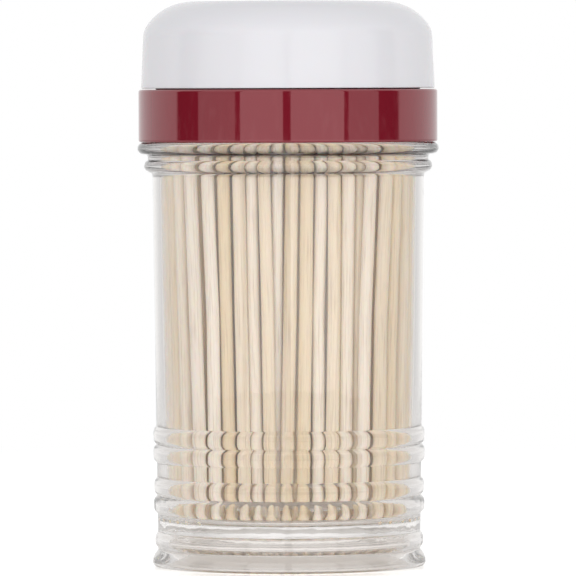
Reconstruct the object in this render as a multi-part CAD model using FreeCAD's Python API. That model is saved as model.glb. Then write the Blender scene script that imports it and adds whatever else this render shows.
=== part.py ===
import FreeCAD, Part
import math
import os

# Sizes in millimetres, +Z up. The origin is the middle of the circle the jar stands on.

# Jar body
body_radius = 21.07         # the drafted wall where it meets the shoulder bead
draft_per_mm = 0.0122       # how much the walls widen for each millimetre of height
jar_wall = 1.2
skirt_wall = 1.47           # round the hollow under the floor
recess_depth = 5.3
floor_thickness = 1.7

# Foot bead, which the jar stands on
foot_bead_rise = 0.87
foot_bead_z = 0.9
foot_bevel = 0.9

# Ribs round the body, low down
rib_rise = 0.52
rib_half_width = 1.5
rib_pitch = 2.8
valley_rise = 0.1           # between the two ribs of a pair
upper_pair_z = 18.9
lower_pair_z = 11.0
single_rib_z = 4.1
single_rib_rise = 0.47
single_rib_half_width = 1.3

# Shoulder bead, groove and flange
bead_rise = 1.27
bead_drop = 3.55            # from the flange's top down to the middle of the bead
bead_half_height = 1.35
bead_face = 0.9
groove_rise = 0.71
groove_drop = 2.3
flange_rise = 2.32
flange_drop = 0.95          # from the flange's top down to its widest line
flange_bevel = 0.4

# Neck, which carries the collar
neck_rise = 0.13
neck_height = 6.65
snap_bead_rise = 0.35
snap_bead_height = 3.25     # crest of the bead above the flange
snap_bead_foot = 0.6        # how far below its crest the bead's locking slope begins
pick_headroom = 0.38        # from the toothpicks' tops to the neck's rim

# Collar
collar_wall = 1.44
collar_height = 8.15
collar_bevel = 0.45
collar_fit = 0.2            # between the snap bead and the collar's bore
snap_bite = 0.18            # how far the collar's rim springs over the bead
snap_play = 0.2             # lift before the rim meets the bead
rim_gap = 0.1               # between the neck's rim and the collar's ledge

# Dial cap
cap_setback = 0.43          # the cap's foot lies this far inside the collar's outer face
cap_height = 13.55
cap_side_draft = 2.4        # degrees
shoulder_curve = 8.4
corner_curve = 3.5
corner_start = 55.2         # degrees from the vertical, where the tighter corner begins
cap_wall = 1.5
cap_foot_gap = 0.15

# Running fit of the cap on the collar's hat
turning_gap = 0.35
hat_wall = 1.4
lip_bite = 0.18             # how far the cap's lip springs over the hat's foot
lip_gap = 0.3

# Holes of the dial
hole_edge = 0.95            # from the largest hole to the edge of the cap's flat top
cap_hole_diameter = 9.5
pour_hole_diameter = 9.5
cluster_hole_diameter = 6.6
single_hole_diameter = 3.2
cap_hole_angle = 90.0       # degrees; at the back, over the pour hole while the dial is at rest

# Toothpicks
pick_length = 65.0
pick_diameter = 2.1
pick_point = 8.5
pick_sides = 4
pick_side_gap = 0.25
pick_wall_gap = 0.3
pick_seat_gap = 0.02
single_layers = 6           # outer layers with a node each; the rest is the core
largest_twist = 0.9         # degrees

# Heights that follow from the sizes above
floor_z = recess_depth + floor_thickness
neck_rim_z = floor_z + pick_seat_gap + pick_length + pick_headroom
flange_top_z = neck_rim_z - neck_height
bead_z = flange_top_z - bead_drop
bead_root_z = bead_z - bead_half_height
snap_bead_z = flange_top_z + snap_bead_height
ledge_z = neck_rim_z + rim_gap
collar_top_z = flange_top_z + collar_height
cap_foot_z = collar_top_z + cap_foot_gap
overall_height = cap_foot_z + cap_height

# Radii that follow
neck_radius = body_radius + neck_rise
snap_bead_radius = neck_radius + snap_bead_rise
collar_bore_radius = snap_bead_radius + collar_fit
collar_radius = collar_bore_radius + collar_wall
cap_foot_radius = collar_radius - cap_setback

# How far the cap's and the hat's faces lie inside the cap's outer face
cap_inside = cap_wall
hat_outside = cap_inside + turning_gap
hat_inside = hat_outside + hat_wall

axis_foot = FreeCAD.Vector(0, 0, 0)
axis_up = FreeCAD.Vector(0, 0, 1)


class Outline:
    # A closed outline beside the axis, drawn point by point: r outwards, z up.

    def __init__(self, r, z):
        self.start = FreeCAD.Vector(r, 0, z)
        self.here = self.start
        self.edges = []

    def line(self, r, z):
        there = FreeCAD.Vector(r, 0, z)
        self.edges.append(Part.LineSegment(self.here, there).toShape())
        self.here = there

    def slope(self, r, z):
        # A long or steep wall, drawn as a straight spline, which keeps its facets few.
        there = FreeCAD.Vector(r, 0, z)
        spline = Part.BSplineCurve()
        spline.buildFromPolesMultsKnots([self.here, there], [2, 2], [0, 1], False, 1)
        self.edges.append(spline.toShape())
        self.here = there

    def turned(self):
        self.line(self.start.x, self.start.z)
        face = Part.Face(Part.Wire(self.edges))
        return face.revolve(axis_foot, axis_up, 360)


def wall_radius(z):
    # The jar's drafted outer wall, carried down from the shoulder bead.
    return body_radius - draft_per_mm * (bead_root_z - z)


def bore_radius(z):
    # The jar's inner wall, with the same draft.
    return wall_radius(z) - jar_wall


def draw_foot(outline):
    # The standing ring, its bevelled corner, the bead above it and the single rib that follows.
    bead_r = wall_radius(0) + foot_bead_rise
    low_z = single_rib_z - single_rib_half_width
    high_z = single_rib_z + single_rib_half_width
    outline.line(wall_radius(0) - skirt_wall, 0)
    outline.line(bead_r - foot_bevel, 0)
    outline.line(bead_r, foot_bead_z)
    outline.line(wall_radius(low_z), low_z)
    outline.line(wall_radius(single_rib_z) + single_rib_rise, single_rib_z)
    outline.line(wall_radius(high_z), high_z)


def draw_rib_pair(outline, z):
    # Two ribs side by side with a shallow valley between them.
    low_z = z - rib_pitch / 2
    high_z = z + rib_pitch / 2
    outline.slope(wall_radius(low_z - rib_half_width), low_z - rib_half_width)
    outline.line(wall_radius(low_z) + rib_rise, low_z)
    outline.line(wall_radius(z) + valley_rise, z)
    outline.line(wall_radius(high_z) + rib_rise, high_z)
    outline.line(wall_radius(high_z + rib_half_width), high_z + rib_half_width)


def draw_shoulder(outline):
    # The long wall, the bead at its top, the groove and the flange.
    outline.slope(body_radius, bead_root_z)
    outline.line(body_radius + bead_rise, bead_z - bead_face / 2)
    outline.line(body_radius + bead_rise, bead_z + bead_face / 2)
    outline.line(body_radius + groove_rise, flange_top_z - groove_drop)
    outline.line(body_radius + flange_rise, flange_top_z - flange_drop)
    outline.line(body_radius + flange_rise - flange_bevel, flange_top_z)


def draw_neck(outline):
    # The neck with its snap bead; above the bead it tapers to the rim, to lead the collar on.
    outline.line(neck_radius, flange_top_z)
    outline.line(neck_radius, snap_bead_z - snap_bead_foot)
    outline.line(snap_bead_radius, snap_bead_z)
    outline.slope(neck_radius, neck_rim_z)
    outline.line(bore_radius(neck_rim_z), neck_rim_z)


def make_jar():
    outline = Outline(0, recess_depth)
    outline.line(wall_radius(0) - skirt_wall, recess_depth)
    draw_foot(outline)
    draw_rib_pair(outline, lower_pair_z)
    draw_rib_pair(outline, upper_pair_z)
    draw_shoulder(outline)
    draw_neck(outline)
    outline.slope(bore_radius(floor_z), floor_z)
    outline.line(0, floor_z)
    return outline.turned()


def cap_side_radius(inset, z):
    # The cap's drafted side, or a face that lies inset inside it.
    return cap_foot_radius - inset - (z - cap_foot_z) * math.tan(math.radians(cap_side_draft))


def cap_flat_radius():
    # Where the flat top ends: the shoulder and the corner run from there into the drafted side.
    side = math.radians(90 - cap_side_draft)
    turn = math.radians(corner_start)
    drop = shoulder_curve + (corner_curve - shoulder_curve) * math.cos(turn)
    side_z = overall_height - drop + corner_curve * math.cos(side)
    reach = (shoulder_curve - corner_curve) * math.sin(turn) + corner_curve * math.sin(side)
    return cap_side_radius(0, side_z) - reach


def cap_edge_points(inset, shoulder_flats, corner_flats):
    # Points down the shoulder and the tighter corner of a face inset inside the cap's outer face.
    turn = math.radians(corner_start)
    side = math.radians(90 - cap_side_draft)
    shoulder_r = cap_flat_radius()
    shoulder_z = overall_height - shoulder_curve
    corner_r = shoulder_r + (shoulder_curve - corner_curve) * math.sin(turn)
    corner_z = shoulder_z + (shoulder_curve - corner_curve) * math.cos(turn)
    points = []
    for number in range(shoulder_flats + 1):
        angle = turn * number / shoulder_flats
        radius = shoulder_curve - inset
        points.append((shoulder_r + radius * math.sin(angle), shoulder_z + radius * math.cos(angle)))
    for number in range(1, corner_flats + 1):
        angle = turn + (side - turn) * number / corner_flats
        radius = corner_curve - inset
        points.append((corner_r + radius * math.sin(angle), corner_z + radius * math.cos(angle)))
    return points


def upright_hole(diameter, angle):
    # A cutter for a hole of the dial, at its place on the hole circle.
    largest = max(cap_hole_diameter, pour_hole_diameter)
    circle_radius = cap_flat_radius() - hole_edge - largest / 2
    turn = math.radians(angle)
    foot = FreeCAD.Vector(circle_radius * math.cos(turn), circle_radius * math.sin(turn), ledge_z)
    return Part.makeCylinder(diameter / 2, overall_height, foot, axis_up)


def hat_foot():
    # The undercut foot of the hat: its radius at the collar's top, and the height and radius where
    # the slope reaches the hat's side.
    foot_radius = cap_side_radius(hat_outside, cap_foot_z) - lip_bite - lip_gap
    reach = lip_bite + lip_gap
    return foot_radius, collar_top_z + reach, cap_side_radius(hat_outside, collar_top_z + reach)


def make_collar():
    # The ring round the neck and, in one piece with it, the hat that carries the cap.
    foot_radius, side_z, side_radius = hat_foot()
    snap_rim_radius = snap_bead_radius - snap_bite
    snap_rim_top_z = snap_bead_z - snap_bite * snap_bead_foot / snap_bead_rise - snap_play
    outline = Outline(snap_rim_radius, flange_top_z)
    outline.line(collar_radius, flange_top_z)
    outline.line(collar_radius, collar_top_z - collar_bevel)
    outline.line(collar_radius - collar_bevel, collar_top_z)
    outline.line(foot_radius, collar_top_z)
    outline.line(side_radius, side_z)
    top, shoulder_foot = cap_edge_points(hat_outside, 1, 0)
    outline.slope(*shoulder_foot)
    outline.line(*top)
    outline.line(0, overall_height - hat_outside)
    outline.line(0, overall_height - hat_inside)
    top, shoulder_foot = cap_edge_points(hat_inside, 1, 0)
    outline.line(*top)
    outline.line(*shoulder_foot)
    outline.slope(cap_side_radius(hat_inside, ledge_z), ledge_z)
    outline.line(collar_bore_radius, ledge_z)
    outline.line(collar_bore_radius, snap_rim_top_z + collar_bore_radius - snap_rim_radius)
    outline.line(snap_rim_radius, snap_rim_top_z)
    collar = outline.turned()
    holes = (pour_hole_diameter, cluster_hole_diameter, single_hole_diameter)
    for quarter, diameter in enumerate(holes):
        collar = collar.cut(upright_hole(diameter, cap_hole_angle + 90 * quarter))
    return collar


def make_dial_cap():
    # A plain dome with one hole; its lip springs into the undercut of the hat's foot.
    lip_radius = cap_side_radius(hat_outside, cap_foot_z) - lip_bite
    lip_reach = cap_side_radius(cap_inside, cap_foot_z) - lip_radius
    outline = Outline(lip_radius, cap_foot_z)
    outline.line(cap_foot_radius, cap_foot_z)
    *shoulder, shoulder_foot, corner_foot = cap_edge_points(0, 3, 1)
    outline.slope(*corner_foot)
    outline.slope(*shoulder_foot)
    for point in reversed(shoulder):
        outline.line(*point)
    outline.line(0, overall_height)
    outline.line(0, overall_height - cap_inside)
    top, shoulder_foot = cap_edge_points(cap_inside, 1, 0)
    outline.line(*top)
    outline.line(*shoulder_foot)
    outline.slope(cap_side_radius(cap_inside, cap_foot_z + lip_reach), cap_foot_z + lip_reach)
    cap = outline.turned()
    return cap.cut(upright_hole(cap_hole_diameter, cap_hole_angle))


def make_pick():
    # One toothpick on the axis: a stick in a few flats, drawn to a point at each end.
    half = pick_length / 2
    rings = []
    for z in (pick_point - half, half - pick_point):
        ring = []
        for side in range(pick_sides):
            turn = math.radians(360 * side / pick_sides)
            x = pick_diameter / 2 * math.cos(turn)
            y = pick_diameter / 2 * math.sin(turn)
            ring.append(FreeCAD.Vector(x, y, z))
        rings.append(ring)
    low_ring, high_ring = rings
    low_tip = FreeCAD.Vector(0, 0, -half)
    high_tip = FreeCAD.Vector(0, 0, half)
    faces = []
    for side in range(pick_sides):
        after = (side + 1) % pick_sides
        flat = [low_ring[side], low_ring[after], high_ring[after], high_ring[side]]
        low_flat = [low_tip, low_ring[after], low_ring[side]]
        high_flat = [high_tip, high_ring[side], high_ring[after]]
        for corners in (flat, low_flat, high_flat):
            faces.append(Part.Face(Part.makePolygon([*corners, corners[0]])))
    return Part.makeSolid(Part.makeShell(faces))


def outer_layer_radius():
    # The outermost layer stands clear of the wall where the picks' lower points end.
    return bore_radius(floor_z + pick_point) - pick_diameter / 2 - pick_wall_gap


def picks_round(radius, pitch):
    # How many picks stand side by side on a circle.
    if radius < pitch / 2:
        return 1
    return int(math.pi / math.asin(pitch / (2 * radius)))


def make_layer(pick, index, radius, pitch):
    # One ring of picks. They lean outwards with the jar's draft, and each ring is twisted a
    # little round the axis, so that neighbouring rings cross.
    count = picks_round(radius, pitch)
    if count == 1:
        radius = 0
    lean = math.degrees(math.atan(draft_per_mm)) * radius / outer_layer_radius()
    middle_radius = radius + (pick_length / 2 - pick_point) * math.tan(math.radians(lean))
    middle_z = floor_z + pick_seat_gap + pick_length / 2
    twist = largest_twist * math.cos(2.4 * index)
    picks = []
    for number in range(count):
        stood = pick.copy()
        stood.rotate(axis_foot, axis_up, 40 * number)
        stood.rotate(axis_foot, FreeCAD.Vector(1, 0, 0), twist)
        stood.rotate(axis_foot, FreeCAD.Vector(0, 1, 0), lean)
        stood.translate(FreeCAD.Vector(middle_radius, 0, middle_z))
        stood.rotate(axis_foot, axis_up, 360 * number / count + 17 * index)
        picks.append(stood)
    return picks


def make_toothpicks():
    pick = make_pick()
    pitch = pick_diameter + pick_side_gap
    layers = {}
    radius = outer_layer_radius()
    index = 0
    while radius >= 0:
        name = f"toothpick_layer_{index + 1}" if index < single_layers else "toothpick_core"
        layers.setdefault(name, []).extend(make_layer(pick, index, radius, pitch))
        index += 1
        radius -= pitch
    return {name: Part.makeCompound(picks) for name, picks in layers.items()}


def main():
    nodes = {
        "jar": make_jar(),
        "collar": make_collar(),
        "dial_cap": make_dial_cap(),
    }
    nodes.update(make_toothpicks())
    os.makedirs("parts", exist_ok=True)
    for name, shape in nodes.items():
        print(name, len(shape.Solids), "solids", round(shape.Volume, 1), "mm3", shape.isValid())
        shape.exportStep(f"parts/{name}.step")


main()
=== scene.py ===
import math
import bmesh
import bpy
import numpy as np
from mathutils import Matrix, Vector


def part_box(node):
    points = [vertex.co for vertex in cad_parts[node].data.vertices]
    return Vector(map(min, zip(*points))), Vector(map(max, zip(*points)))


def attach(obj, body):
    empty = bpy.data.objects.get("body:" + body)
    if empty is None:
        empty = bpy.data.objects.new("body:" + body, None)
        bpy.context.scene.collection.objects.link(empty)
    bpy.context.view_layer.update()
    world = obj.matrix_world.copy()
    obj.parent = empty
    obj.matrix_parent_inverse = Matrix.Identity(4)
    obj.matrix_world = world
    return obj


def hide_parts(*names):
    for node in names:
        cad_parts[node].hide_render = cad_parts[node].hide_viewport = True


# A clear ribbed jar of toothpicks with a crimson collar and a white dial cap.
# Lengths in the dictionaries are millimetres and angles are degrees; the meshes are in metres.

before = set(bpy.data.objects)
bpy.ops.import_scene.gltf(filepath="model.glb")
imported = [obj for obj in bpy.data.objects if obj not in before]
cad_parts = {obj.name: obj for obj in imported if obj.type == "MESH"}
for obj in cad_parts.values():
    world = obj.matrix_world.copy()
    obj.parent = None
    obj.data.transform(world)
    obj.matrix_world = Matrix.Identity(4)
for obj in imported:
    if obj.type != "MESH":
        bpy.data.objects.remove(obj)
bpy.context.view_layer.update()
mm = 0.001


def heightsOf(node):
    # Lowest and highest point of a CAD node, in millimetres.
    low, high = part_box(node)
    return low.z / mm, high.z / mm


flangeTop, capTop = heightsOf("collar")[0], heightsOf("dial_cap")[1]
neckRim = heightsOf("jar")[1]
capFoot = heightsOf("dial_cap")[0]
print("frame loaded:", round(capTop, 2), "mm high")


# ---------- outlines and grids


def arc(centreR, centreZ, radius, fromAngle, toAngle, count=32):
    # Centre plus radius times (cosine, sine) of an angle that runs evenly between the two given.
    angle = np.radians(np.linspace(fromAngle, toAngle, count))
    return np.column_stack([centreR + radius * np.cos(angle), centreZ + radius * np.sin(angle)])


def soften(parts, reach, turnStep, runStep=3.0):
    # The outline is walked in even steps and each point becomes the mean of those within reach of it,
    # which rounds the corners. Then a point is kept for each turnStep of turning or runStep of length,
    # with three more where a bend begins or ends, so that flat stretches stay flat.
    line = np.vstack([np.atleast_2d(part) for part in parts])
    length = np.r_[0, np.cumsum(np.hypot(*np.diff(line, axis=0).T))]
    step = 0.02
    along = np.arange(0, length[-1], step)
    even = np.column_stack([np.interp(along, length, line[:, axis]) for axis in (0, 1)])
    half = max(1, round(reach / step / 2))
    kernel = np.convolve(np.ones(half), np.ones(half)) / half ** 2
    spare = len(kernel) // 2
    before, after = 2 * even[0] - even[spare:0:-1], 2 * even[-1] - even[-2:-spare - 2:-1]
    padded = np.vstack([before, even, after])
    smooth = np.column_stack([np.convolve(padded[:, axis], kernel, "valid") for axis in (0, 1)])
    heading = np.unwrap(np.arctan2(*np.diff(smooth, axis=0).T[::-1]))
    turning = np.r_[0, np.degrees(np.abs(np.diff(heading))), 0]
    cost = np.cumsum(turning) / turnStep + along / runStep
    bending = np.convolve(turning, np.ones(5) / 5, "same") > 0.02      # degrees in a step
    bends = np.flatnonzero(np.diff(bending))
    marks = np.clip((bends[:, None] + [-4, 0, 4]).ravel(), 0, len(cost) - 1)
    kept = np.unique(np.r_[np.searchsorted(cost, np.arange(0, cost[-1])), marks, len(cost) - 1])
    return smooth[kept]


def gridFaces(rows, columns, start=0):
    # Quads between neighbouring rows of a grid whose last column joins its first.
    row, column = np.arange(rows - 1)[:, None], np.arange(columns)[None, :]
    after = (column + 1) % columns
    low, high = row * columns, (row + 1) * columns
    corners = [low + column, low + after, high + after, high + column]
    return np.stack(np.broadcast_arrays(*corners), axis=-1).reshape(-1, 4) + start


def turnedGrid(outline, columns):
    # (r, z) of the outline carried round the axis: r cos a, r sin a, z.
    angle = 2 * math.pi * np.arange(columns) / columns
    r, z = outline[:, :1], outline[:, 1:]
    return np.stack([r * np.cos(angle), r * np.sin(angle), z + 0 * angle], axis=-1)


def makePiece(name, grids, material, mergeWithin=0.002):
    # Grids in millimetres become one closed mesh in metres; rows that meet are merged.
    points = np.vstack([grid.reshape(-1, 3) for grid in grids])
    starts = np.cumsum([0] + [grid.shape[0] * grid.shape[1] for grid in grids])
    faces = np.vstack([gridFaces(*grid.shape[:2], start) for grid, start in zip(grids, starts)])
    mesh = bpy.data.meshes.new(name)
    mesh.from_pydata((points * mm).tolist(), [], faces.tolist())
    work = bmesh.new()
    work.from_mesh(mesh)
    bmesh.ops.remove_doubles(work, verts=work.verts, dist=mergeWithin * mm)
    bmesh.ops.dissolve_degenerate(work, edges=work.edges, dist=mergeWithin * mm / 4)
    bmesh.ops.recalc_face_normals(work, faces=work.faces)
    loose = sum(1 for edge in work.edges if len(edge.link_faces) != 2)
    work.to_mesh(mesh)
    work.free()
    mesh.polygons.foreach_set("use_smooth", np.ones(len(mesh.polygons), bool))
    mesh.materials.append(material)
    piece = bpy.data.objects.new(name, mesh)
    bpy.context.scene.collection.objects.link(piece)
    print(name, len(mesh.polygons), "faces,", loose, "open edges")
    return piece


# ---------- material helpers


def newTree(name):
    material = bpy.data.materials.new(name)
    material.use_nodes = True
    material.node_tree.nodes.clear()
    return material, material.node_tree


def node(tree, kind, **settings):
    made = tree.nodes.new(kind)
    for key, value in settings.items():
        setattr(made, key, value)
    return made


def wire(tree, source, target):
    tree.links.new(source, target)


def setInputs(made, values):
    for key, value in values.items():
        made.inputs[key].default_value = value


def makeRamp(tree, stops):
    ramp = node(tree, "ShaderNodeValToRGB")
    while len(ramp.color_ramp.elements) < len(stops):
        ramp.color_ramp.elements.new(0.5)
    for element, (place, colour) in zip(ramp.color_ramp.elements, stops):
        element.position = place
        element.color = (*colour, 1)
    return ramp


def makeMouldedSkin():
    # Moulded plastic: a faint ripple from the tool's polish and fine scuffs that dull the gloss.
    group = bpy.data.node_groups.new("mouldedSkin", "ShaderNodeTree")
    for name, start in (("Ripple Scale", 300), ("Scuff Scale", 900), ("Gloss", 0.1), ("Dulling", 0.1)):
        socket = group.interface.new_socket(name, in_out="INPUT", socket_type="NodeSocketFloat")
        socket.default_value = start
    for name in ("Roughness", "Height"):
        group.interface.new_socket(name, in_out="OUTPUT", socket_type="NodeSocketFloat")
    inside, outside = node(group, "NodeGroupInput"), node(group, "NodeGroupOutput")
    place = node(group, "ShaderNodeTexCoord")
    ripple = node(group, "ShaderNodeTexNoise")
    setInputs(ripple, {"Detail": 2.0, "Roughness": 0.4})
    scuff = node(group, "ShaderNodeTexNoise")
    setInputs(scuff, {"Detail": 6.0, "Roughness": 0.7})
    stretch = node(group, "ShaderNodeMapping")
    stretch.inputs["Scale"].default_value = (1, 1, 0.25)
    wire(group, place.outputs["Object"], stretch.inputs["Vector"])
    wire(group, place.outputs["Object"], ripple.inputs["Vector"])
    wire(group, stretch.outputs[0], scuff.inputs["Vector"])
    wire(group, inside.outputs["Ripple Scale"], ripple.inputs["Scale"])
    wire(group, inside.outputs["Scuff Scale"], scuff.inputs["Scale"])
    sharpen = node(group, "ShaderNodeMapRange")
    setInputs(sharpen, {"From Min": 0.5, "From Max": 0.8})
    wire(group, scuff.outputs[0], sharpen.inputs["Value"])
    dull = node(group, "ShaderNodeMath", operation="MULTIPLY_ADD")
    wire(group, sharpen.outputs[0], dull.inputs[0])
    wire(group, inside.outputs["Dulling"], dull.inputs[1])
    wire(group, inside.outputs["Gloss"], dull.inputs[2])
    wire(group, dull.outputs[0], outside.inputs["Roughness"])
    wire(group, ripple.outputs[0], outside.inputs["Height"])
    return group


mouldedSkin = makeMouldedSkin()


def addSkin(tree, shader, finish):
    # Places the moulded skin in a material, with its own values, and bumps the shader with it.
    skin = node(tree, "ShaderNodeGroup", node_tree=mouldedSkin)
    setInputs(skin, {
        "Ripple Scale": finish["rippleScale"],
        "Scuff Scale": finish["scuffScale"],
        "Gloss": finish["roughness"],
        "Dulling": finish["scuffDulling"],
    })
    bump = node(tree, "ShaderNodeBump")
    setInputs(bump, {"Strength": finish["rippleStrength"], "Distance": finish["rippleHeight"] * mm})
    wire(tree, skin.outputs["Height"], bump.inputs["Height"])
    wire(tree, skin.outputs["Roughness"], shader.inputs["Roughness"])
    wire(tree, bump.outputs[0], shader.inputs["Normal"])
    return skin


# ---------- jar

jar = {
    "columns": 176,
    "bodyRadius": 21.07,        # where the drafted wall meets the shoulder bead
    "draft": 0.0122,            # widening for each millimetre of height
    "wall": 1.2,
    "recessRadius": 18.86,
    "recessDepth": 5.3,
    "recessDome": 0.5,          # how much lower the recess is at its edge
    "recessCurve": 0.5,
    "floorTop": 7.0,
    "footRadius": 21.2,
    "footInnerCorner": 0.3,
    "footCorner": 0.65,
    "footCurve": 2.6,           # the foot bead's upper side
    "footEnd": 47.7,            # the angle at which that side meets the lowest rib
    "ribs": (                   # crest radius, height, half width, squareness
        (20.85, 4.1, 1.3, 2.6),
        (21.05, 9.6, 1.4, 3.2),
        (20.97, 12.4, 1.4, 3.2),
        (21.10, 17.5, 1.4, 3.2),
        (21.09, 20.3, 1.4, 3.2),
    ),
    "beadRadius": 22.34,
    "beadDrop": 3.67,           # below the flange's top
    "beadCurve": 1.02,
    "beadFillet": 0.75,         # under the bead
    "wallTopDrop": 1.35,        # from the bead's middle to the top of the drafted wall
    "filletDrop": 1.7,          # from the bead's middle to the foot of its fillet
    "grooveRadius": 21.78,
    "flangeRadius": 23.375,
    "flangeCurve": 0.93,
    "flangeFillet": 0.5,
    "seatGap": 0.03,            # under the collar
    "neckRadius": 21.2,
    "snapRadius": 21.55,
    "snapHeight": 3.25,         # above the flange's top
    "snapRise": 0.6,
    "rimCorner": 0.3,
    "innerStepDrop": 7.8,       # the faint line inside, below the flange's top
    "innerStep": 0.025,
    "innerStepReach": 0.6,
    "innerTaper": 0.6,          # how much thicker the wall is at the floor than at mid height
    "bedCorner": 1.8,
    "bedDish": 0.6,             # how much lower the jar's bed is in the middle
    "cornerReach": 0.12,
}
clearPlastic = {
    "colour": (0.93, 0.905, 0.885),
    "ior": 1.58,
    "roughness": 0.0,
    "scuffDulling": 0.03,
    "scuffScale": 1400.0,
    "rippleScale": 160.0,
    "rippleStrength": 0.06,
    "rippleHeight": 0.05,
    "baseRippleScale": 450.0,
    "baseRippleHeight": 0.04,
}


def wallRadius(z):
    rootZ = flangeTop - jar["beadDrop"] - jar["wallTopDrop"]
    return jar["bodyRadius"] - jar["draft"] * (rootZ - z)


def boreRadius(z):
    # The core's own draft thickens the wall below mid height: taper * (1 - z / half)^2.
    low = np.clip(1 - (z - jar["floorTop"]) / 30, 0, None)
    return wallRadius(z) - jar["wall"] - jar["innerTaper"] * low ** 2


def ribBack(crestR, crestZ, halfWidth, squareness):
    # Wall radius plus rise * (1 - |t|^squareness), with t from -1 to 1 across the rib.
    t = np.linspace(-1, 1, 61)
    z = crestZ + halfWidth * t
    rise = crestR - wallRadius(crestZ)
    return np.column_stack([wallRadius(z) + rise * (1 - np.abs(t) ** squareness), z])


def beadWithFillet(crestR, crestZ, curve, footR, fillet, topAngle):
    # A round bead over a hollow arc that starts at footR and touches the bead's circle from below.
    centre = crestR - curve
    across = footR + fillet - centre
    down = math.sqrt((curve + fillet) ** 2 - across ** 2)
    touch = math.degrees(math.atan2(down, across))
    return [
        arc(footR + fillet, crestZ - down, fillet, 180, 180 - touch),
        arc(centre, crestZ, curve, -touch, topAngle),
    ]


def jarOutline():
    # From the middle of the recess out under the foot, up the outside, over the rim and down the bore.
    floorTop, bedCorner = jar["floorTop"], jar["bedCorner"]
    edge, inner, corner, rim = (jar[key] for key in ("recessCurve", "footInnerCorner", "footCorner", "rimCorner"))
    footCentre = jar["footRadius"] - jar["footCurve"]
    beadZ = flangeTop - jar["beadDrop"]
    beadCentre = jar["beadRadius"] - jar["beadCurve"]
    beadEnd = math.degrees(math.acos((jar["grooveRadius"] - beadCentre) / jar["beadCurve"]))
    flangeZ = flangeTop - jar["flangeCurve"] - jar["seatGap"]
    wallR = wallRadius(beadZ - jar["filletDrop"])
    snapZ = flangeTop + jar["snapHeight"]
    stepZ, stepReach = flangeTop - jar["innerStepDrop"], jar["innerStepReach"]
    bedEdge = float(boreRadius(floorTop)) - bedCorner
    bed = np.linspace(bedEdge, 0, 24)
    under = np.linspace(0, jar["recessRadius"] - edge, 24)
    parts = [
        np.column_stack([under, jar["recessDepth"] - jar["recessDome"] * (under / under[-1]) ** 2]),
        arc(jar["recessRadius"] - edge, jar["recessDepth"] - jar["recessDome"] - edge, edge, 90, 0),
        arc(jar["recessRadius"] + inner, inner, inner, 180, 270),
        arc(jar["footRadius"] - corner, corner, corner, -90, 0),
        arc(footCentre, corner, jar["footCurve"], 0, jar["footEnd"]),
        *[ribBack(*rib) for rib in jar["ribs"]],
        *beadWithFillet(jar["beadRadius"], beadZ, jar["beadCurve"], wallR, jar["beadFillet"], beadEnd),
        *beadWithFillet(
            jar["flangeRadius"], flangeZ, jar["flangeCurve"], jar["grooveRadius"], jar["flangeFillet"], 90,
        ),
        (jar["neckRadius"], flangeTop - jar["seatGap"]),
        (jar["neckRadius"], snapZ - jar["snapRise"]),
        (jar["snapRadius"], snapZ),
        (jar["neckRadius"], neckRim - rim),
        (jar["neckRadius"] - rim, neckRim),
        (wallRadius(neckRim) - jar["wall"] + rim, neckRim),
        (wallRadius(neckRim) - jar["wall"] + jar["innerStep"], neckRim - rim),
        (wallRadius(stepZ) - jar["wall"] + jar["innerStep"], stepZ + stepReach),
        (wallRadius(stepZ) - jar["wall"], stepZ - stepReach),
        *[(float(boreRadius(z)), z) for z in np.arange(36, floorTop + 1, -2.0)],
        arc(bedEdge, floorTop + bedCorner, bedCorner, 0, -90),
        np.column_stack([bed, floorTop - jar["bedDish"] * (1 - (bed / bed[0]) ** 2)]),
    ]
    return soften(parts, jar["cornerReach"], turnStep=16, runStep=5)


def addBaseRipple(tree, shader):
    # The thick floor shrinks as it cools, so its faces are a little wavy; that fades out 5 mm from it.
    place, split = node(tree, "ShaderNodeTexCoord"), node(tree, "ShaderNodeSeparateXYZ")
    away = node(tree, "ShaderNodeMath", operation="SUBTRACT")
    away.inputs[1].default_value = jar["floorTop"] * mm
    reach = node(tree, "ShaderNodeMath", operation="ABSOLUTE")
    wave = node(tree, "ShaderNodeTexNoise")
    setInputs(wave, {"Scale": clearPlastic["baseRippleScale"], "Detail": 1.0})
    low = node(tree, "ShaderNodeMapRange", interpolation_type="SMOOTHSTEP")
    setInputs(low, {"From Min": 0.0025, "From Max": 0.005, "To Min": 1.0, "To Max": 0.0})
    masked = node(tree, "ShaderNodeMath", operation="MULTIPLY")
    bump = node(tree, "ShaderNodeBump")
    setInputs(bump, {"Strength": 1.0, "Distance": clearPlastic["baseRippleHeight"] * mm})
    wire(tree, place.outputs["Object"], split.inputs[0])
    wire(tree, place.outputs["Object"], wave.inputs["Vector"])
    wire(tree, split.outputs["Z"], away.inputs[0])
    wire(tree, away.outputs[0], reach.inputs[0])
    wire(tree, reach.outputs[0], low.inputs["Value"])
    wire(tree, wave.outputs[0], masked.inputs[0])
    wire(tree, low.outputs[0], masked.inputs[1])
    wire(tree, masked.outputs[0], bump.inputs["Height"])
    wire(tree, shader.inputs["Normal"].links[0].from_socket, bump.inputs["Normal"])
    wire(tree, bump.outputs[0], shader.inputs["Normal"])


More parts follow.
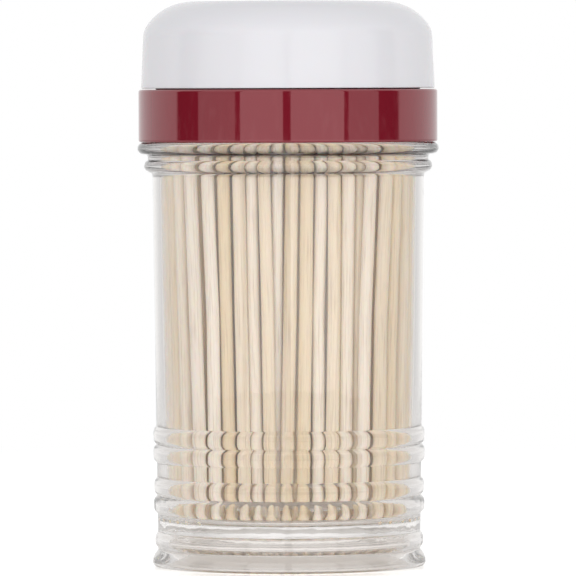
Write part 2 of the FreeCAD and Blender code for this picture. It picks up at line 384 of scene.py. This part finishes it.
def makeClearPlastic():
    # Clear for the eye and for light: lamps and light scattered off the wood go straight through.
    material, tree = newTree("clearPlastic")
    shader = node(tree, "ShaderNodeBsdfPrincipled")
    setInputs(shader, {
        "Base Color": (*clearPlastic["colour"], 1),
        "IOR": clearPlastic["ior"],
        "Transmission Weight": 1.0,
    })
    addSkin(tree, shader, clearPlastic)
    addBaseRipple(tree, shader)
    path = node(tree, "ShaderNodeLightPath")
    clear = node(tree, "ShaderNodeBsdfTransparent")
    lampMix, bounceMix = node(tree, "ShaderNodeMixShader"), node(tree, "ShaderNodeMixShader")
    output = node(tree, "ShaderNodeOutputMaterial")
    wire(tree, path.outputs["Is Shadow Ray"], lampMix.inputs[0])
    wire(tree, shader.outputs[0], lampMix.inputs[1])
    wire(tree, clear.outputs[0], lampMix.inputs[2])
    wire(tree, path.outputs["Is Diffuse Ray"], bounceMix.inputs[0])
    wire(tree, lampMix.outputs[0], bounceMix.inputs[1])
    wire(tree, clear.outputs[0], bounceMix.inputs[2])
    wire(tree, bounceMix.outputs[0], output.inputs["Surface"])
    return material


clearJar = makePiece("clearJar", [turnedGrid(jarOutline(), jar["columns"])], makeClearPlastic())
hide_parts("jar")
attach(clearJar, "jar")


# ---------- discs with holes, for the deck and the cap's top

dial = {
    "columns": 192,
    "spokePoints": 14,
    "discRadius": 14.9,
    "holeCircle": 9.2,
    "edgeRounding": 0.35,
}


def holedDisc(topZ, underZ, crown, holes):
    # Four quarters, each a fan of lines from a hole's rim, or from the middle where there is no hole,
    # out to the quarter's edge. A line runs along the top, down the rounded wall and back underneath.
    grids = []
    perQuarter = dial["columns"] // 4
    spoke = np.linspace(0, dial["discRadius"], dial["spokePoints"])[1:]
    for direction, radius in holes.items():
        middle = math.radians(direction)
        centre = dial["holeCircle"] * np.array([math.cos(middle), math.sin(middle)])
        side = middle + math.pi / 4 * np.array([-1, 1])
        rim = side[0] + (side[1] - side[0]) * np.arange(1, perQuarter) / perQuarter
        outward = spoke[:, None] * np.array([math.cos(side[0]), math.sin(side[0])])
        inward = spoke[::-1, None] * np.array([math.cos(side[1]), math.sin(side[1])])
        curve = dial["discRadius"] * np.column_stack([np.cos(rim), np.sin(rim)])
        border = np.vstack([[0, 0], outward, curve, inward])
        reach = np.linalg.norm(border - centre, axis=1)
        heading = (border - centre) / reach[:, None]
        rounding = dial["edgeRounding"] if radius else 0
        # Distance from the hole's middle, drop of the rounded edge, and whether it lies on top.
        rows = [
            (radius + rounding + (reach - radius - rounding) * share, 0, True)
            for share in np.linspace(1, 0, 9) ** 1.5
        ]
        if radius:
            bend = np.radians(np.linspace(0, 90, 6))[1:]
            edge = [(radius + rounding * (1 - math.sin(b)), rounding * (1 - math.cos(b))) for b in bend]
            rows += [(*place, True) for place in edge]
            rows += [(*place, False) for place in edge[::-1]]
        rows += [
            (radius + rounding + (reach - radius - rounding) * share, 0, False)
            for share in np.linspace(0, 1, 9) ** 1.5
        ]
        grid = []
        for distance, drop, onTop in rows:
            flat = centre + heading * np.broadcast_to(distance, reach.shape)[:, None]
            out = np.linalg.norm(flat, axis=1) / dial["discRadius"]
            height = topZ - crown * out ** 2 - drop if onTop else underZ + 0 * out + drop
            grid.append(np.column_stack([flat, height]))
        grids.append(np.array(grid))
    return grids


# ---------- dial cap

cap = {
    "footRadius": 22.76,
    "sideDraft": 2.4,
    "shoulderCurve": 8.4,
    "cornerCurve": 3.5,
    "cornerStart": 55.2,        # from the vertical
    "wall": 1.5,
    "crown": 0.12,
    "footRounding": 0.15,
    "lipRadius": 20.73,
    "lipReach": 0.52,
    "holeRadius": 4.75,
    "holeDirection": 90,
}
capPlastic = {
    "colour": (0.74, 0.735, 0.77),
    "ior": 1.5,
    "roughness": 0.16,
    "scuffDulling": 0.12,
    "scuffScale": 700.0,
    "rippleScale": 260.0,
    "rippleStrength": 0.12,
    "rippleHeight": 0.06,
    "glow": 0.05,
}


def domeArcs(inset, drop):
    # The shoulder and the tighter corner of a face that lies inset inside the cap's outer face.
    turn = math.radians(cap["cornerStart"])
    shoulderZ = capTop - cap["shoulderCurve"] - drop
    step = cap["shoulderCurve"] - cap["cornerCurve"]
    cornerR, cornerZ = dial["discRadius"] + step * math.sin(turn), shoulderZ + step * math.cos(turn)
    return (
        arc(dial["discRadius"], shoulderZ, cap["shoulderCurve"] - inset, 90, 90 - cap["cornerStart"]),
        arc(cornerR, cornerZ, cap["cornerCurve"] - inset, 90 - cap["cornerStart"], cap["sideDraft"]),
    )


def capOutline():
    rounding = cap["footRounding"]
    shoulder, corner = domeArcs(0, cap["crown"])
    innerShoulder, innerCorner = domeArcs(cap["wall"], 0)
    innerFoot = cap["lipRadius"] + cap["lipReach"]
    parts = [
        shoulder,
        corner,
        arc(cap["footRadius"] - rounding, capFoot + rounding, rounding, 0, -90),
        (cap["lipRadius"] + 0.1, capFoot),
        (cap["lipRadius"], capFoot + 0.1),
        (innerFoot, capFoot + cap["lipReach"]),
        innerCorner[::-1],
        innerShoulder[::-1],
    ]
    return soften(parts, 0.15, turnStep=5)


def makeCapPlastic():
    material, tree = newTree("capPlastic")
    shader = node(tree, "ShaderNodeBsdfPrincipled")
    setInputs(shader, {
        "Base Color": (*capPlastic["colour"], 1),
        "IOR": capPlastic["ior"],
        "Subsurface Weight": capPlastic["glow"],
        "Subsurface Scale": 1.5 * mm,
    })
    addSkin(tree, shader, capPlastic)
    output = node(tree, "ShaderNodeOutputMaterial")
    wire(tree, shader.outputs[0], output.inputs["Surface"])
    return material


capHoles = {cap["holeDirection"] + 90 * quarter: 0 for quarter in range(4)}
capHoles[cap["holeDirection"]] = cap["holeRadius"]
capTopGrids = holedDisc(capTop, capTop - cap["wall"], cap["crown"], capHoles)
capGrids = [turnedGrid(capOutline(), dial["columns"]), *capTopGrids]
domeCap = makePiece("domeCap", capGrids, makeCapPlastic())
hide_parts("dial_cap")
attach(domeCap, "dial_cap")


# ---------- collar

collar = {
    "radius": 23.19,
    "topHeight": 8.15,          # above the flange's top
    "topRounding": 0.4,
    "footRounding": 0.3,
    "rimRadius": 21.37,
    "rimTop": 2.74,
    "rimSlope": 0.38,
    "boreRadius": 21.75,
    "ledgeRadius": 19.58,
    "ledgeHeight": 6.75,
    "hatInset": 1.85,
    "hatWall": 1.4,
    "hatFootRadius": 20.43,
    "hatFootReach": 0.48,
    "deckHoles": (4.75, 3.3, 1.6, 0),   # from the cap's hole, turning left; 0 is no hole
}
collarPlastic = {
    "colour": (0.175, 0.0075, 0.0175),
    "ior": 1.58,
    "shine": 1.0,
    "shineTint": (1.0, 0.61, 0.62),
    "roughness": 0.05,
    "scuffDulling": 0.1,
    "scuffScale": 900.0,
    "rippleScale": 200.0,
    "rippleStrength": 0.1,
    "rippleHeight": 0.05,
}


def collarOutline():
    top = flangeTop + collar["topHeight"]
    low, high = collar["footRounding"], collar["topRounding"]
    shoulder, corner = domeArcs(collar["hatInset"], 0)
    innerShoulder, innerCorner = domeArcs(collar["hatInset"] + collar["hatWall"], 0)
    hatSide = collar["hatFootRadius"] + collar["hatFootReach"]
    ledgeZ = flangeTop + collar["ledgeHeight"]
    parts = [
        innerShoulder,
        innerCorner,
        (collar["ledgeRadius"], ledgeZ),
        (collar["boreRadius"], ledgeZ),
        (collar["boreRadius"], flangeTop + collar["rimTop"] + collar["rimSlope"]),
        (collar["rimRadius"], flangeTop + collar["rimTop"]),
        (collar["rimRadius"], flangeTop),
        arc(collar["radius"] - low, flangeTop + low, low, -90, 0),
        arc(collar["radius"] - high, top - high, high, 0, 90),
        (collar["hatFootRadius"], top),
        (hatSide, top + collar["hatFootReach"]),
        corner[::-1],
        shoulder[::-1],
    ]
    return soften(parts, 0.12, turnStep=6)


def makeCollarPlastic():
    material, tree = newTree("collarPlastic")
    shader = node(tree, "ShaderNodeBsdfPrincipled")
    setInputs(shader, {
        "Base Color": (*collarPlastic["colour"], 1),
        "IOR": collarPlastic["ior"],
        "Specular IOR Level": collarPlastic["shine"],
        "Specular Tint": (*collarPlastic["shineTint"], 1),
    })
    addSkin(tree, shader, collarPlastic)
    output = node(tree, "ShaderNodeOutputMaterial")
    wire(tree, shader.outputs[0], output.inputs["Surface"])
    return material


deckHoles = {cap["holeDirection"] + 90 * quarter: radius for quarter, radius in enumerate(collar["deckHoles"])}
deckTop = capTop - collar["hatInset"]
deckGrids = holedDisc(deckTop, deckTop - collar["hatWall"], 0, deckHoles)
collarGrids = [turnedGrid(collarOutline(), dial["columns"]), *deckGrids]
crimsonCollar = makePiece("crimsonCollar", collarGrids, makeCollarPlastic())
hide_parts("collar")
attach(crimsonCollar, "collar")


# ---------- toothpicks

toothpicks = {
    "count": 204,
    "seed": 11,
    "length": 65.0,
    "lengthSpread": 0.25,
    "radius": 1.03,
    "radiusSpread": 0.045,
    "tipRadius": 0.22,
    "pointLength": 6.5,
    "sides": 10,
    "clearance": 0.13,
    "wallClearance": 0.06,
    "frontGap": (5.2, 6.6),     # the bundle stands clear of the front wall, at its foot and its top
    "frontStray": 1.2,          # and some stand further back than that
    "bow": 0.10,
    "leanSpread": 1.6,          # how far tops stray sideways from their feet, on average
    "footSpread": 0.3,
    "fan": 1.08,                # how much wider the tops start than the feet
    "settleRounds": 420,
    "contactShares": (0.13, 0.32, 0.5, 0.68, 0.87),     # heights at which picks are kept apart
    "pushShare": 0.45,
    "drift": 0.012,             # outward, while they settle
    "toneShape": (1.3, 2.2),    # a beta draw, widened, from pale to yellow
    "toneWiden": 0.15,
    "toneMost": 0.6,
}
wood = {
    "pale": (0.885, 0.83, 0.755),
    "cream": (0.85, 0.76, 0.635),
    "yellow": (0.77, 0.64, 0.435),
    "brown": (0.42, 0.28, 0.17),
    "roughness": 0.6,
    "glow": 0.5,
    "glowDepth": 0.7,
    "fibreHeight": 0.04,
}


def settleToothpicks():
    # Each toothpick is a straight line from the floor up. They start on a sunflower spiral with a
    # random lean, and at five heights they are pushed apart, and in from the wall, until they fit.
    draw = np.random.default_rng(toothpicks["seed"])
    count, length = toothpicks["count"], toothpicks["length"]
    spare = toothpicks["radius"] + toothpicks["wallClearance"]
    room = float(boreRadius(jar["floorTop"])) - spare
    index = np.arange(count) + 0.5
    spiral = index * math.pi * (3 - math.sqrt(5))
    start = room * np.sqrt(index / count)
    foot = np.column_stack([start * np.cos(spiral), start * np.sin(spiral)]) 
    foot += draw.normal(0, toothpicks["footSpread"], (count, 2))
    top = foot * toothpicks["fan"] + draw.normal(0, toothpicks["leanSpread"], (count, 2))
    for place, gap in zip((foot, top), toothpicks["frontGap"]):
        place[:, 1] = place[:, 1] * (1 - gap / 2 / room) + gap / 2
    apart = 2 * toothpicks["radius"] + toothpicks["clearance"]
    footBack, topBack = draw.uniform(0, toothpicks["frontStray"], (2, count))
    for turn in range(toothpicks["settleRounds"]):
        drift = toothpicks["drift"] * max(0, 1 - 1.6 * turn / toothpicks["settleRounds"])
        for share in toothpicks["contactShares"]:
            place = foot * (1 - share) + top * share
            offset = place[:, None] - place[None, :]
            distance = np.linalg.norm(offset, axis=-1) + 1e-9
            push = np.clip(apart - distance, 0, None) / distance * toothpicks["pushShare"]
            np.fill_diagonal(push, 0)
            out = np.linalg.norm(place, axis=1, keepdims=True)
            limit = float(boreRadius(jar["floorTop"] + length * share)) - spare
            move = (offset * push[..., None]).sum(1) + place / room * drift
            move -= place / out * np.clip(out - limit, 0, None)
            footGap, topGap = toothpicks["frontGap"]
            frontGap = footGap * (1 - share) + topGap * share
            frontGap = frontGap + footBack * (1 - share) + topBack * share
            move[:, 1] += np.clip(frontGap - limit - place[:, 1], 0, None)
            scale = (1 - share) ** 2 + share ** 2
            foot += move * (1 - share) / scale
            top += move * share / scale
    return foot, top, draw


def makeWood():
    # Fine fibres run along each stick; the tone attribute gives every stick its own colour.
    material, tree = newTree("toothpickWood")
    uv = node(tree, "ShaderNodeUVMap", uv_map="stick")
    fibreMap, flowMap = node(tree, "ShaderNodeMapping"), node(tree, "ShaderNodeMapping")
    fibreMap.inputs["Scale"].default_value = (30, 0.10, 1)
    flowMap.inputs["Scale"].default_value = (4, 0.03, 1)
    fibre, flow = node(tree, "ShaderNodeTexNoise"), node(tree, "ShaderNodeTexNoise")
    setInputs(fibre, {"Scale": 1.0, "Detail": 4.0, "Roughness": 0.65})
    setInputs(flow, {"Scale": 1.0, "Detail": 2.0, "Roughness": 0.5})
    for mapping, noise in ((fibreMap, fibre), (flowMap, flow)):
        wire(tree, uv.outputs[0], mapping.inputs["Vector"])
        wire(tree, mapping.outputs[0], noise.inputs["Vector"])
    tone = node(tree, "ShaderNodeAttribute", attribute_name="tone")
    stray = node(tree, "ShaderNodeMath", operation="MULTIPLY_ADD")
    stray.inputs[1].default_value = 0.35
    wire(tree, flow.outputs[0], stray.inputs[0])
    wire(tree, tone.outputs["Fac"], stray.inputs[2])
    ramp = makeRamp(tree, (
        (0.0, wood["pale"]), (0.45, wood["cream"]), (0.85, wood["yellow"]), (1.0, wood["brown"]),
    ))
    wire(tree, stray.outputs[0], ramp.inputs[0])
    dark = node(tree, "ShaderNodeMapRange")
    setInputs(dark, {"From Min": 0.5, "From Max": 0.75, "To Min": 0.0, "To Max": 0.6})
    wire(tree, fibre.outputs[0], dark.inputs["Value"])
    streak = node(tree, "ShaderNodeMix", data_type="RGBA", blend_type="MIX")
    wire(tree, dark.outputs[0], streak.inputs[0])
    wire(tree, ramp.outputs[0], streak.inputs[6])
    streak.inputs[7].default_value = (*wood["brown"], 1)
    shader = node(tree, "ShaderNodeBsdfPrincipled")
    setInputs(shader, {
        "Roughness": wood["roughness"],
        "IOR": 1.4,
        "Subsurface Weight": wood["glow"],
        "Subsurface Radius": (1.4, 0.8, 0.4),
        "Subsurface Scale": wood["glowDepth"] * mm,
    })
    wire(tree, streak.outputs[2], shader.inputs["Base Color"])
    bump = node(tree, "ShaderNodeBump")
    setInputs(bump, {"Strength": 0.3, "Distance": wood["fibreHeight"] * mm})
    wire(tree, fibre.outputs[0], bump.inputs["Height"])
    wire(tree, bump.outputs[0], shader.inputs["Normal"])
    output = node(tree, "ShaderNodeOutputMaterial")
    wire(tree, shader.outputs[0], output.inputs["Surface"])
    return material


def makeToothpicks():
    # One stick is a stack of rings with a flat tip at each end; every stick is that, leaned over to its
    # own line and a little bowed: place = foot + (top - foot) * height share + bow * sine + ring across.
    foot, top, draw = settleToothpicks()
    count, sides, length = toothpicks["count"], toothpicks["sides"], toothpicks["length"]
    point, radius, tip = toothpicks["pointLength"], toothpicks["radius"], toothpicks["tipRadius"]
    shaft = np.linspace(point, length - point, 5)
    heights = np.r_[0, 0.35, point * 0.5, shaft, length - point * 0.5, length - 0.35, length]
    halfPoint = radius * 0.72 + tip * 0.28
    radii = np.r_[tip, tip + 0.13, halfPoint, radius + 0 * shaft, halfPoint, tip + 0.13, tip]
    lengths = 1 - draw.uniform(0, toothpicks["lengthSpread"] * 2, count) / length
    angle = 2 * math.pi * np.arange(sides) / sides
    turn = draw.uniform(0, 2 * math.pi, count)
    around = angle[None, None, :] + turn[:, None, None]
    flat = foot[:, None, :] + (top - foot)[:, None, :] * (heights / length)[None, :, None]
    along = (math.pi * heights / length)[None, :, None]
    bow = draw.normal(0, toothpicks["bow"], (count, 1, 2)) * np.sin(along)
    wave = draw.normal(0, toothpicks["bow"] * 0.5, (count, 1, 2)) * np.sin(3 * along)
    flat = flat + bow + wave
    girth = 1 - np.abs(draw.normal(0, toothpicks["radiusSpread"], count))[:, None, None]
    x = flat[:, :, 0, None] + girth * radii[None, :, None] * np.cos(around)
    y = flat[:, :, 1, None] + girth * radii[None, :, None] * np.sin(around)
    z = jar["floorTop"] + 0.03 + (heights[None, :] * lengths[:, None])[:, :, None] + 0 * around
    points = np.stack([x, y, z], axis=-1).reshape(-1, 3)
    perStick = len(heights) * sides
    sideFaces = gridFaces(len(heights), sides)
    starts = (np.arange(count) * perStick)[:, None, None]
    quads = (sideFaces[None] + starts).reshape(-1, 4)
    lowTips = np.arange(sides)[::-1][None] + starts[:, 0]
    highTips = np.arange(sides)[None] + perStick - sides + starts[:, 0]
    mesh = bpy.data.meshes.new("looseToothpicks")
    faces = quads.tolist() + lowTips.tolist() + highTips.tolist()
    mesh.from_pydata((points * mm).tolist(), [], faces)
    widen = toothpicks["toneWiden"]
    tones = draw.beta(*toothpicks["toneShape"], count) * (1 + widen) - widen
    tones = np.clip(tones, 0, toothpicks["toneMost"])
    attribute = mesh.attributes.new("tone", "FLOAT", "POINT")
    attribute.data.foreach_set("value", np.repeat(tones, perStick).astype(np.float32))
    uv = mesh.uv_layers.new(name="stick")
    loopVertex = np.empty(len(mesh.loops), np.int32)
    mesh.loops.foreach_get("vertex_index", loopVertex)
    stick, column = loopVertex // perStick, loopVertex % sides
    corners = column[:len(quads) * 4].reshape(-1, 4)
    seam = corners.max(axis=1, keepdims=True) == sides - 1
    corners[seam & (corners == 0)] = sides      # the last quad ends at the far side of the map
    u = column / sides + stick * 3.7
    v = points[loopVertex, 2] + stick * 11.3
    uv.data.foreach_set("uv", np.column_stack([u, v]).astype(np.float32).ravel())
    mesh.polygons.foreach_set("use_smooth", np.arange(len(mesh.polygons)) < len(quads))
    mesh.materials.append(makeWood())
    piece = bpy.data.objects.new("looseToothpicks", mesh)
    bpy.context.scene.collection.objects.link(piece)
    lean = np.degrees(np.arctan(np.linalg.norm(top - foot, axis=1) / length))
    print("looseToothpicks", len(mesh.polygons), "faces, largest lean", round(float(lean.max()), 2))
    return piece


looseToothpicks = makeToothpicks()
pickNodes = [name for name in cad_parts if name.startswith("toothpick")]
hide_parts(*pickNodes)
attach(looseToothpicks, "jar")


# ---------- stage, light and camera

stage = {
    "floorSize": 8.0,               # metres
    "floorColour": (0.88, 0.865, 0.85),
    "floorRoughness": 0.08,
    "floorLift": 0.4,               # how much whiter the floor looks than it is lit, near the jar
    "whiteFrom": 0.1,               # metres from the axis, where the paper turns into plain white
    "whiteTo": 0.35,
    "softboxes": (                  # where each begins and ends, and how bright it is
        (-70, -39.2, 0.52),
        (-35.4, -3.7, 0.88),
        (1.9, 41.8, 0.90),
        (45.3, 70.8, 0.57),
    ),
    "softboxDistance": 0.25,
    "softboxHeight": 0.22,
    "worldFill": 0.68,              # how bright the world lights what isn't glossy
    "offBackdrop": 0.72,            # how bright the jar refracts the world away from the backdrop
    "gapDark": 0.02,                # what a glossy surface sees between the softboxes
    "gapBack": (0.06, 0.1),         # the part of a direction behind the jar where it turns white
    "gapTop": (0.3, 0.6),           # and the part upwards
}


def makeBackdropLevel():
    # What the jar refracts: white straight behind it, duller to the sides, by the sine of the direction.
    group = bpy.data.node_groups.new("backdropLevel", "ShaderNodeTree")
    group.interface.new_socket("Direction", in_out="INPUT", socket_type="NodeSocketVector")
    group.interface.new_socket("Level", in_out="OUTPUT", socket_type="NodeSocketFloat")
    inside, outside = node(group, "NodeGroupInput"), node(group, "NodeGroupOutput")
    unit = node(group, "ShaderNodeVectorMath", operation="NORMALIZE")
    split, level = node(group, "ShaderNodeSeparateXYZ"), node(group, "ShaderNodeMapRange")
    setInputs(level, {"From Min": 0.86, "From Max": 0.995, "To Min": stage["offBackdrop"], "To Max": 1.0})
    wire(group, inside.outputs[0], unit.inputs[0])
    wire(group, unit.outputs[0], split.inputs[0])
    wire(group, split.outputs["Y"], level.inputs["Value"])
    wire(group, level.outputs[0], outside.inputs[0])
    return group


def addWhite(tree, level, direction, path):
    # Plain white to the camera, the backdrop's own level to anything else.
    backdrop = node(tree, "ShaderNodeGroup", node_tree=level)
    white = node(tree, "ShaderNodeMath", operation="MAXIMUM")
    wire(tree, direction, backdrop.inputs[0])
    wire(tree, path.outputs["Is Camera Ray"], white.inputs[0])
    wire(tree, backdrop.outputs[0], white.inputs[1])
    return white.outputs[0]


def makeFloor(level):
    # Lit paper near the jar; further off, what looks at it straight, through plastic or in a gloss sees
    # plain white or the backdrop's level. The camera sees the paper a little lifted.
    mesh = bpy.data.meshes.new("floor")
    half = stage["floorSize"] / 2
    corners = [(-half, -half, 0), (half, -half, 0), (half, half, 0), (-half, half, 0)]
    mesh.from_pydata(corners, [], [(0, 1, 2, 3)])
    material, tree = newTree("floorPaper")
    shader = node(tree, "ShaderNodeBsdfPrincipled")
    setInputs(shader, {"Base Color": (*stage["floorColour"], 1), "Roughness": stage["floorRoughness"], "IOR": 1.5})
    glow = node(tree, "ShaderNodeEmission")
    path = node(tree, "ShaderNodeLightPath")
    place = node(tree, "ShaderNodeTexCoord")
    reach = node(tree, "ShaderNodeVectorMath", operation="LENGTH")
    far = node(tree, "ShaderNodeMapRange", interpolation_type="SMOOTHSTEP")
    setInputs(far, {"From Min": stage["whiteFrom"], "From Max": stage["whiteTo"]})
    wire(tree, place.outputs["Object"], reach.inputs[0])
    wire(tree, reach.outputs["Value"], far.inputs["Value"])
    direct = node(tree, "ShaderNodeMath", operation="MAXIMUM")
    seen = node(tree, "ShaderNodeMath", operation="MAXIMUM")
    lift = node(tree, "ShaderNodeMath", operation="MULTIPLY")
    lift.inputs[1].default_value = stage["floorLift"]
    plain = node(tree, "ShaderNodeMath", operation="MULTIPLY")
    white = node(tree, "ShaderNodeEmission")
    wire(tree, addWhite(tree, level, place.outputs["Object"], path), white.inputs["Strength"])
    paper, mixed = node(tree, "ShaderNodeAddShader"), node(tree, "ShaderNodeMixShader")
    output = node(tree, "ShaderNodeOutputMaterial")
    wire(tree, path.outputs["Is Camera Ray"], direct.inputs[0])
    wire(tree, path.outputs["Is Transmission Ray"], direct.inputs[1])
    wire(tree, direct.outputs[0], seen.inputs[0])
    wire(tree, path.outputs["Is Glossy Ray"], seen.inputs[1])
    wire(tree, path.outputs["Is Camera Ray"], lift.inputs[0])
    wire(tree, lift.outputs[0], glow.inputs["Strength"])
    wire(tree, shader.outputs[0], paper.inputs[0])
    wire(tree, glow.outputs[0], paper.inputs[1])
    wire(tree, seen.outputs[0], plain.inputs[0])
    wire(tree, far.outputs[0], plain.inputs[1])
    wire(tree, plain.outputs[0], mixed.inputs[0])
    wire(tree, paper.outputs[0], mixed.inputs[1])
    wire(tree, white.outputs[0], mixed.inputs[2])
    wire(tree, mixed.outputs[0], output.inputs["Surface"])
    mesh.materials.append(material)
    floor = bpy.data.objects.new("floor", mesh)
    bpy.context.scene.collection.objects.link(floor)


def makeSoftbox(name, fromAngle, toAngle, strength):
    # A tall lamp that faces the axis and fills the directions between two angles, seen from above;
    # 0 is the camera's side.
    middle = math.radians((fromAngle + toAngle) / 2)
    distance, height = stage["softboxDistance"], stage["softboxHeight"]
    width = 2 * distance * math.tan(math.radians(toAngle - fromAngle) / 2)
    data = bpy.data.lights.new(name, "AREA")
    data.shape = "RECTANGLE"
    data.size, data.size_y = width, height
    data.energy = strength * 4 * width * height
    lamp = bpy.data.objects.new(name, data)
    bpy.context.scene.collection.objects.link(lamp)
    lamp.location = (distance * math.sin(middle), -distance * math.cos(middle), height / 2 + 0.002)
    lamp.rotation_euler = (math.radians(90), 0, middle)
    lamp.visible_camera = False


def makeWorld(level):
    # White to the eye and the backdrop's level through the jar; in reflections dark between the lamps
    # and white behind and above.
    world = bpy.data.worlds.new("studio")
    bpy.context.scene.world = world
    world.use_nodes = True
    tree = world.node_tree
    tree.nodes.clear()
    path = node(tree, "ShaderNodeLightPath")
    place = node(tree, "ShaderNodeTexCoord")
    split = node(tree, "ShaderNodeSeparateXYZ")
    wire(tree, place.outputs["Generated"], split.inputs[0])
    behind, above = node(tree, "ShaderNodeMapRange"), node(tree, "ShaderNodeMapRange")
    backFrom, backTo = stage["gapBack"]
    setInputs(behind, {"From Min": backFrom, "From Max": backTo, "To Min": stage["gapDark"], "To Max": 1.0})
    setInputs(above, {"From Min": stage["gapTop"][0], "From Max": stage["gapTop"][1], "To Max": 1.0})
    wire(tree, split.outputs["Y"], behind.inputs["Value"])
    wire(tree, split.outputs["Z"], above.inputs["Value"])
    bright = node(tree, "ShaderNodeMath", operation="MAXIMUM")
    wire(tree, behind.outputs[0], bright.inputs[0])
    wire(tree, above.outputs[0], bright.inputs[1])
    seen = node(tree, "ShaderNodeMath", operation="MAXIMUM")
    wire(tree, path.outputs["Is Camera Ray"], seen.inputs[0])
    wire(tree, path.outputs["Is Transmission Ray"], seen.inputs[1])
    glossy = node(tree, "ShaderNodeMix", data_type="FLOAT")
    glossy.inputs[2].default_value = stage["worldFill"]
    wire(tree, path.outputs["Is Glossy Ray"], glossy.inputs[0])
    wire(tree, bright.outputs[0], glossy.inputs[3])
    final = node(tree, "ShaderNodeMix", data_type="FLOAT")
    wire(tree, addWhite(tree, level, place.outputs["Generated"], path), final.inputs[3])
    wire(tree, seen.outputs[0], final.inputs[0])
    wire(tree, glossy.outputs[0], final.inputs[2])
    background = node(tree, "ShaderNodeBackground")
    background.inputs["Color"].default_value = (1, 1, 1, 1)
    output = node(tree, "ShaderNodeOutputWorld")
    wire(tree, final.outputs[0], background.inputs["Strength"])
    wire(tree, background.outputs[0], output.inputs["Surface"])


camera = {
    "distance": 1.060,          # metres from the axis
    "height": 0.0739,
    "aimHeight": 0.04305,
    "lens": 427.0,
    "sensor": 36.0,
    "aside": -0.00008,
    "roll": -0.185,
}


def makeCamera():
    data = bpy.data.cameras.new("photoCamera")
    data.lens, data.sensor_width = camera["lens"], camera["sensor"]
    data.clip_start, data.clip_end = 0.05, 50
    holder = bpy.data.objects.new("photoCamera", data)
    bpy.context.scene.collection.objects.link(holder)
    eye = Vector((camera["aside"], -camera["distance"], camera["height"]))
    sight = Vector((camera["aside"], 0, camera["aimHeight"])) - eye
    turn = sight.to_track_quat("-Z", "Y").to_matrix().to_4x4()
    holder.matrix_world = Matrix.Translation(eye) @ turn @ Matrix.Rotation(math.radians(camera["roll"]), 4, "Z")
    bpy.context.scene.camera = holder


backdropLevel = makeBackdropLevel()
makeFloor(backdropLevel)
for number, softbox in enumerate(stage["softboxes"], start=1):
    makeSoftbox(f"softbox{number}", *softbox)
makeWorld(backdropLevel)
makeCamera()
view, cycles = bpy.context.scene.view_settings, bpy.context.scene.cycles
view.view_transform = "Standard"
cycles.max_bounces, cycles.glossy_bounces, cycles.transmission_bounces = 24, 16, 20
cycles.diffuse_bounces, cycles.transparent_max_bounces = 10, 24
print("stage ready")
